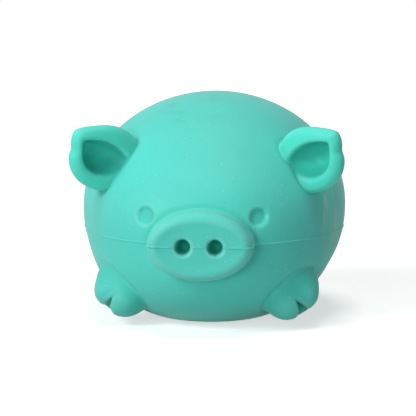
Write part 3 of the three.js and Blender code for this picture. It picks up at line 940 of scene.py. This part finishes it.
# %% [markdown]
# ## Moulded rubber
#
# The skin is a thermoplastic rubber of the styrene kind, soft enough to dent with a finger, coloured
# right through and moulded against fine-blasted steel. That gives a matt to satin surface with an
# IOR of about 1.5, and a little light goes in and comes out again a millimetre away, which softens
# the shadows in the ears. The blasting leaves a grain of about a third of a millimetre, which takes
# away about two fifths of the mirror-like part of its shine.
#
# The pigment is not perfectly mixed, so the colour drifts over a few centimetres, and single specks
# of dust and of unmixed pigment sit in it, a third of a millimetre across.

# %% Pigment and specks
MOTTLE = 22.0
GRAIN = 0.35
SPECK_SPACING = 1.1
DEEPER, PALER = 0.94, 1.05
PALE_SPECKS = {"chance": "Red", "above": 0.85, "strength": 0.6, "colour": "#d2f2ec"}
DARK_SPECKS = {"chance": "Green", "above": 0.86, "strength": 0.55, "colour": "#2e7a72"}


def pigment(tree, mottle, colour):
    """The colour, in turn a little deeper and a little paler."""
    deeper = [v * DEEPER for v in linear(colour)[:3]] + [1.0]
    paler = [min(1.0, v * PALER) for v in linear(colour)[:3]] + [1.0]
    even = add(tree, "ShaderNodeMapRange", Value=mottle, From_Min=0.3, From_Max=0.7).outputs["Result"]
    return add(tree, "ShaderNodeMix", MIX_COLOURS, i0=even, i6=deeper, i7=paler).outputs[2]


def specked(tree, place, tint):
    """One cell in seven holds a pale speck, and one in seven a dark one."""
    cell = add(tree, "ShaderNodeTexVoronoi", Vector=place, Scale=1 / SPECK_SPACING)
    away = cell.outputs["Distance"]
    near = add(
        tree, "ShaderNodeMapRange", Value=away, From_Min=0.08, From_Max=0.18, To_Min=1.0, To_Max=0.0
    ).outputs["Result"]
    chances = add(tree, "ShaderNodeSeparateColor", Color=cell.outputs["Color"]).outputs
    exceeds = {"operation": "GREATER_THAN"}
    for speck in (PALE_SPECKS, DARK_SPECKS):
        chance = chances[speck["chance"]]
        pick = add(tree, "ShaderNodeMath", exceeds, i0=chance, i1=speck["above"]).outputs[0]
        there = add(tree, "ShaderNodeMath", TIMES, i0=near, i1=pick).outputs[0]
        share = add(tree, "ShaderNodeMath", TIMES, i0=there, i1=speck["strength"]).outputs[0]
        colour = linear(speck["colour"])
        tint = add(tree, "ShaderNodeMix", MIX_COLOURS, i0=share, i6=tint, i7=colour).outputs[2]
    return tint


# %% [markdown]
# Handling leaves a pale haze of bloom and fine dust over all of it, and more on the rounded edges that
# hands and tables rub, though not on the sharpest ones. The same haze is also a painted sheen and a
# painted highlight on the rims. In the hollows the colour is painted deeper, as painted shade for the
# shadow there and for the light that bounces between the walls. The ears are painted brighter away
# from the head, for the light that goes right through them.

# %% Dust with painted sheen, painted light in the ears and painted shade in hollows
EDGE_DUST_AND_SHEEN, EVEN_DUST_AND_SHEEN = 0.24, 0.165
EAR_GLOW = 0.7


def dust_and_painted_light(tree, tint):
    bulge = add(tree, "ShaderNodeAttribute", {"attribute_name": "bulge"}).outputs["Fac"]
    hollow = add(tree, "ShaderNodeAttribute", {"attribute_name": "hollow"}).outputs["Fac"]
    thin = add(tree, "ShaderNodeAttribute", {"attribute_name": "thin"}).outputs["Fac"]
    # The pale haze: dust, and a painted sheen and highlight, more on rounded edges and less on the
    # sharpest.
    edge = add(
        tree, "ShaderNodeMapRange", Value=bulge, From_Min=0.1, From_Max=0.4, To_Min=0.0, To_Max=EDGE_DUST_AND_SHEEN
    ).outputs["Result"]
    below_sharpest = add(
        tree, "ShaderNodeMapRange", Value=bulge, From_Min=0.55, From_Max=0.9, To_Min=1.0, To_Max=0.0
    ).outputs["Result"]
    times_plus = {"operation": "MULTIPLY_ADD"}
    dust_and_sheen = add(tree, "ShaderNodeMath", times_plus, i0=edge, i1=below_sharpest, i2=EVEN_DUST_AND_SHEEN).outputs[0]
    # Painted light: the ears brighter away from the head, for light that comes through them.
    glow = add(tree, "ShaderNodeMath", TIMES, i0=thin, i1=EAR_GLOW).outputs[0]
    # Pale haze, painted ear light and painted shade in the recesses are laid on in turn.
    for share, layer in ((dust_and_sheen, "#a6f0e4"), (glow, "#4ef0da"), (hollow, "#06b0a0")):
        tint = add(tree, "ShaderNodeMix", MIX_COLOURS, i0=share, i6=tint, i7=linear(layer)).outputs[2]
    return tint


# %% [markdown]
# The toy in the photograph has been handled: faint dark smudges run across its crown, and pale scuffs
# run up and down its left side, below and behind the ear. Both are noise drawn out one way and faded
# out round one spot.

# %% Smudges and scuffs
SMUDGES = {
    "middle": (-5, -5, 57),
    "reach": 13.0,
    "streak": (9.0, 9.0, 2.4),
    "lean": 12,
    "strength": 0.3,
    "colour": "#2f9a92",
}
SCUFFS = {
    "middle": (31, -9, 28),
    "reach": 12.0,
    "streak": (1.8, 1.8, 9.0),
    "lean": 0,
    "strength": 0.5,
    "colour": "#bfe6e0",
}


def marked(tree, place, tint, marks):
    """Streaky marks round one spot: noise drawn out along the way the toy was rubbed."""
    from_spot = add(tree, "ShaderNodeVectorMath", {"operation": "DISTANCE"}, i0=place, i1=marks["middle"])
    fade = add(
        tree,
        "ShaderNodeMapRange",
        SMOOTH,
        Value=from_spot.outputs["Value"],
        From_Min=marks["reach"] * 0.3,
        From_Max=marks["reach"],
        To_Min=marks["strength"],
        To_Max=0.0,
    ).outputs["Result"]
    drawn = add(
        tree,
        "ShaderNodeMapping",
        {"vector_type": "POINT"},
        Vector=place,
        Rotation=(0, math.radians(marks["lean"]), 0),
        Scale=tuple(1 / size for size in marks["streak"]),
    ).outputs["Vector"]
    streaks = add(tree, "ShaderNodeTexNoise", Vector=drawn, Scale=1.0, Detail=4.0).outputs["Fac"]
    seen = add(
        tree, "ShaderNodeMapRange", Value=streaks, From_Min=0.48, From_Max=0.75, To_Min=0.0, To_Max=1.0
    ).outputs["Result"]
    share = add(tree, "ShaderNodeMath", TIMES, i0=fade, i1=seen).outputs[0]
    colour = linear(marks["colour"])
    return add(tree, "ShaderNodeMix", MIX_COLOURS, i0=share, i6=tint, i7=colour).outputs[2]


# %% [markdown]
# All of this goes into one shader. The grain is a faint bump, a little light scatters under the
# surface, and a thin sheen stands for the dust.

# %% The rubber, and the pieces made of it


def moulded_rubber(name, colour):
    material, tree = new_tree(name)
    place = add(tree, "ShaderNodeAttribute", {"attribute_name": "rest_mm"}).outputs["Vector"]
    mottle = add(tree, "ShaderNodeTexNoise", Vector=place, Scale=1 / MOTTLE, Detail=3.0).outputs["Fac"]
    grain = add(tree, "ShaderNodeTexNoise", Vector=place, Scale=1 / GRAIN, Detail=2.0).outputs["Fac"]
    tint = dust_and_painted_light(tree, specked(tree, place, pigment(tree, mottle, colour)))
    tint = marked(tree, place, tint, SMUDGES)
    tint = marked(tree, place, tint, SCUFFS)
    rough = add(
        tree, "ShaderNodeMapRange", Value=mottle, From_Min=0.3, From_Max=0.7, To_Min=0.5, To_Max=0.58
    ).outputs["Result"]
    bump = add(tree, "ShaderNodeBump", Strength=0.12, Distance=0.05 * MM, Height=grain).outputs["Normal"]
    shader = add(
        tree,
        "ShaderNodeBsdfPrincipled",
        Base_Color=tint,
        Roughness=rough,
        IOR=1.5,
        Normal=bump,
        Subsurface_Weight=0.12,
        Subsurface_Scale=1.2 * MM,
        Subsurface_Radius=(0.6, 1.0, 0.9),
        Specular_IOR_Level=0.3,
        Sheen_Weight=0.12,
        Sheen_Roughness=0.6,
    )
    add(tree, "ShaderNodeOutputMaterial", Surface=shader.outputs["BSDF"])
    return material


mint_rubber = moulded_rubber("moulded_tpr_mint", "#36d8ca")
for piece in (
    body_skin,
    snout_button,
    front_leg_left,
    front_leg_right,
    rear_leg_left,
    rear_leg_right,
    curled_tail,
    ear_flap_left,
    ear_flap_right,
    mould_line,
):
    piece.data.materials.append(mint_rubber)
print("the rubber has", len(mint_rubber.node_tree.nodes), "nodes")

# %% Gel and stopper materials
CLOUD = 9.0
clear_gel, tree = new_tree("poured_gel")
place = add(tree, "ShaderNodeAttribute", {"attribute_name": "rest_mm"}).outputs["Vector"]
cloud = add(tree, "ShaderNodeTexNoise", Vector=place, Scale=1 / CLOUD, Detail=2.0).outputs["Fac"]
milky = add(
    tree, "ShaderNodeMix", MIX_COLOURS, i0=cloud, i6=linear("#dfe8d8"), i7=linear("#eef2e6")
).outputs[2]
shader = add(
    tree,
    "ShaderNodeBsdfPrincipled",
    Base_Color=milky,
    Roughness=0.3,
    IOR=1.41,
    Subsurface_Weight=0.6,
    Subsurface_Scale=4 * MM,
)
add(tree, "ShaderNodeOutputMaterial", Surface=shader.outputs["BSDF"])
gel_filling.data.materials.append(clear_gel)
stopper.data.materials.append(moulded_rubber("moulded_stopper_rubber", "#55c4b6"))
print("the filling is", clear_gel.name, "and the stopper is", stopper.active_material.name)

# %% [markdown]
# ## The pieces in the frame
#
# Pressing the toy lowers the crown towards the base, and the rubber between them gives. Here each
# piece is laid in place and the frame's nodes that it stands for are hidden, and the stopper hangs on
# the base. For each ear the root of its hinge and the way out from it are read off the frame and printed.

# %% Pieces in place of the frame's nodes, and the ears' hinges
stands_for = {
    body_skin: ("skin_lower", "skin_upper"),
    snout_button: ("snout",),
    front_leg_left: ("front_leg_left",),
    front_leg_right: ("front_leg_right",),
    rear_leg_left: ("rear_leg_left",),
    rear_leg_right: ("rear_leg_right",),
    curled_tail: ("tail",),
    gel_filling: ("filling",),
    mould_line: (),
}
for piece, nodes in stands_for.items():
    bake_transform(piece)
    if nodes:
        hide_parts(*nodes)
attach(stopper, "base")
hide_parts("fill_plug")

hinges = {joint["name"]: joint for joint in frame["joints"]}
for piece, node in ((ear_flap_left, "ear_left"), (ear_flap_right, "ear_right")):
    root = np.array(hinges[node + "_flex"]["pos_m"])
    low, high = box_mm(node)
    outwards = (low + high) / 2 * MM - root
    outwards /= np.linalg.norm(outwards)
    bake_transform(piece)
    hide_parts(node)
    print(node, "bends from", [round(v / MM, 1) for v in root], "towards", [round(v, 2) for v in outwards])

# %% [markdown]
# ## Studio
#
# The toy stands on a plain white sweep that burns out behind it. The camera is 45 cm away, 7.5
# degrees above level and 5 degrees to the right, with a long lens, which is how a small product is
# shot. The key is a large soft lamp high on the left and in front. A second one overhead lights the
# back and the tops of the ears, a weaker one low in front opens up the face, and a faint one on the
# right keeps that side from going black. The floor throws little light back, so that the belly stays
# darker.

# %% What the camera sees directly


def seen_directly(tree):
    """1 for a ray from the camera, also by way of a gloss or through something clear, otherwise 0."""
    path = add(tree, "ShaderNodeLightPath").outputs
    either = {"operation": "MAXIMUM"}
    gloss = add(tree, "ShaderNodeMath", either, i0=path["Is Camera Ray"], i1=path["Is Glossy Ray"])
    clear = add(tree, "ShaderNodeMath", either, i0=gloss.outputs[0], i1=path["Is Transmission Ray"])
    return clear.outputs[0]


# %% Floor
SWEEP = 3.0
floor_mesh = bpy.data.meshes.new("white_sweep")
floor_corners = [(-SWEEP, -SWEEP, 0), (SWEEP, -SWEEP, 0), (SWEEP, SWEEP, 0), (-SWEEP, SWEEP, 0)]
floor_mesh.from_pydata(floor_corners, [], [(0, 1, 2, 3)])
floor = linked("white_sweep", floor_mesh)
paper, tree = new_tree("white_paper")
seen = seen_directly(tree)
albedo = add(
    tree, "ShaderNodeMix", MIX_COLOURS, i0=seen, i6=(0.55, 0.55, 0.55, 1), i7=(0.8, 0.8, 0.8, 1)
).outputs[2]
lit = add(tree, "ShaderNodeBsdfDiffuse", Color=albedo).outputs["BSDF"]
spot = add(tree, "ShaderNodeTexCoord").outputs["Object"]
from_toy = add(tree, "ShaderNodeVectorMath", {"operation": "LENGTH"}, i0=spot).outputs["Value"]
strength = add(
    tree,
    "ShaderNodeMapRange",
    SMOOTH,
    Value=from_toy,
    From_Min=0.1,
    From_Max=0.6,
    To_Min=0.6,
    To_Max=1.0,
).outputs["Result"]
glow = add(tree, "ShaderNodeEmission", Color=(1, 1, 1, 1), Strength=strength).outputs["Emission"]
both = add(tree, "ShaderNodeAddShader", i0=lit, i1=glow).outputs["Shader"]
paper_mix = add(tree, "ShaderNodeMixShader", i0=seen, i1=lit, i2=both).outputs["Shader"]
add(tree, "ShaderNodeOutputMaterial", Surface=paper_mix)
floor_mesh.materials.append(paper)
print("the sweep is", 2 * SWEEP, "m wide")

# %% Camera
AIM = np.array([0.0, 0.0, 0.029])
DISTANCE = 0.45
AZIMUTH, ELEVATION = math.radians(5.2), math.radians(7.5)
IMAGE = 416
PIXELS_PER_METRE = 3730
PIXEL_SHIFT = (-5, -4.9)
SENSOR = 36
away = np.array(
    [math.sin(AZIMUTH) * math.cos(ELEVATION), -math.cos(AZIMUTH) * math.cos(ELEVATION), math.sin(ELEVATION)]
)
camera_data = bpy.data.cameras.new("camera")
camera_data.sensor_width = SENSOR
camera_data.lens = PIXELS_PER_METRE * DISTANCE / IMAGE * SENSOR
camera_data.shift_x = PIXEL_SHIFT[0] / IMAGE
camera_data.shift_y = PIXEL_SHIFT[1] / IMAGE
camera_data.clip_start = 0.01
camera = linked("camera", camera_data)
camera.location = AIM + DISTANCE * away
camera.rotation_euler = (math.pi / 2 - ELEVATION, 0, AZIMUTH)
bpy.context.scene.camera = camera
print(f"lens {camera_data.lens:.1f} mm")

# %% Lamps and surroundings
LAMPS = {
    "key_upper_left": {"place": (-0.63, -0.53, 0.6), "size": 0.38, "power": 4.5},
    "top": {"place": (0.0, -0.05, 1.1), "size": 0.45, "power": 4.1},
    "front_low": {"place": (-0.34, -0.93, 0.2), "size": 0.45, "power": 2.3},
    "fill_right": {"place": (0.5, -0.85, 0.15), "size": 0.45, "power": 0.6},
}
for name, kind in LAMPS.items():
    lamp = bpy.data.lights.new(name, "AREA")
    lamp.shape = "DISK"
    lamp.size = kind["size"]
    lamp.energy = kind["power"]
    holder = linked(name, lamp)
    holder.location = kind["place"]
    look = np.array(kind["place"]) - AIM
    flat = math.hypot(look[0], look[1])
    holder.rotation_euler = (math.atan2(flat, look[2]), 0, math.atan2(look[0], -look[1]))

world = bpy.data.worlds.new("studio")
world.use_nodes = True
world.node_tree.nodes.clear()
tree = world.node_tree
seen = seen_directly(tree)
room = add(tree, "ShaderNodeBackground", Color=(0.92, 0.97, 1.0, 1), Strength=0.07).outputs["Background"]
white = add(tree, "ShaderNodeBackground", Color=(1, 1, 1, 1), Strength=1.0).outputs["Background"]
mixed = add(tree, "ShaderNodeMixShader", i0=seen, i1=room, i2=white).outputs["Shader"]
add(tree, "ShaderNodeOutputWorld", Surface=mixed)
bpy.context.scene.world = world
bpy.context.scene.view_settings.view_transform = "Standard"
print(len(LAMPS), "lamps of", round(sum(kind["power"] for kind in LAMPS.values()), 1), "W together")
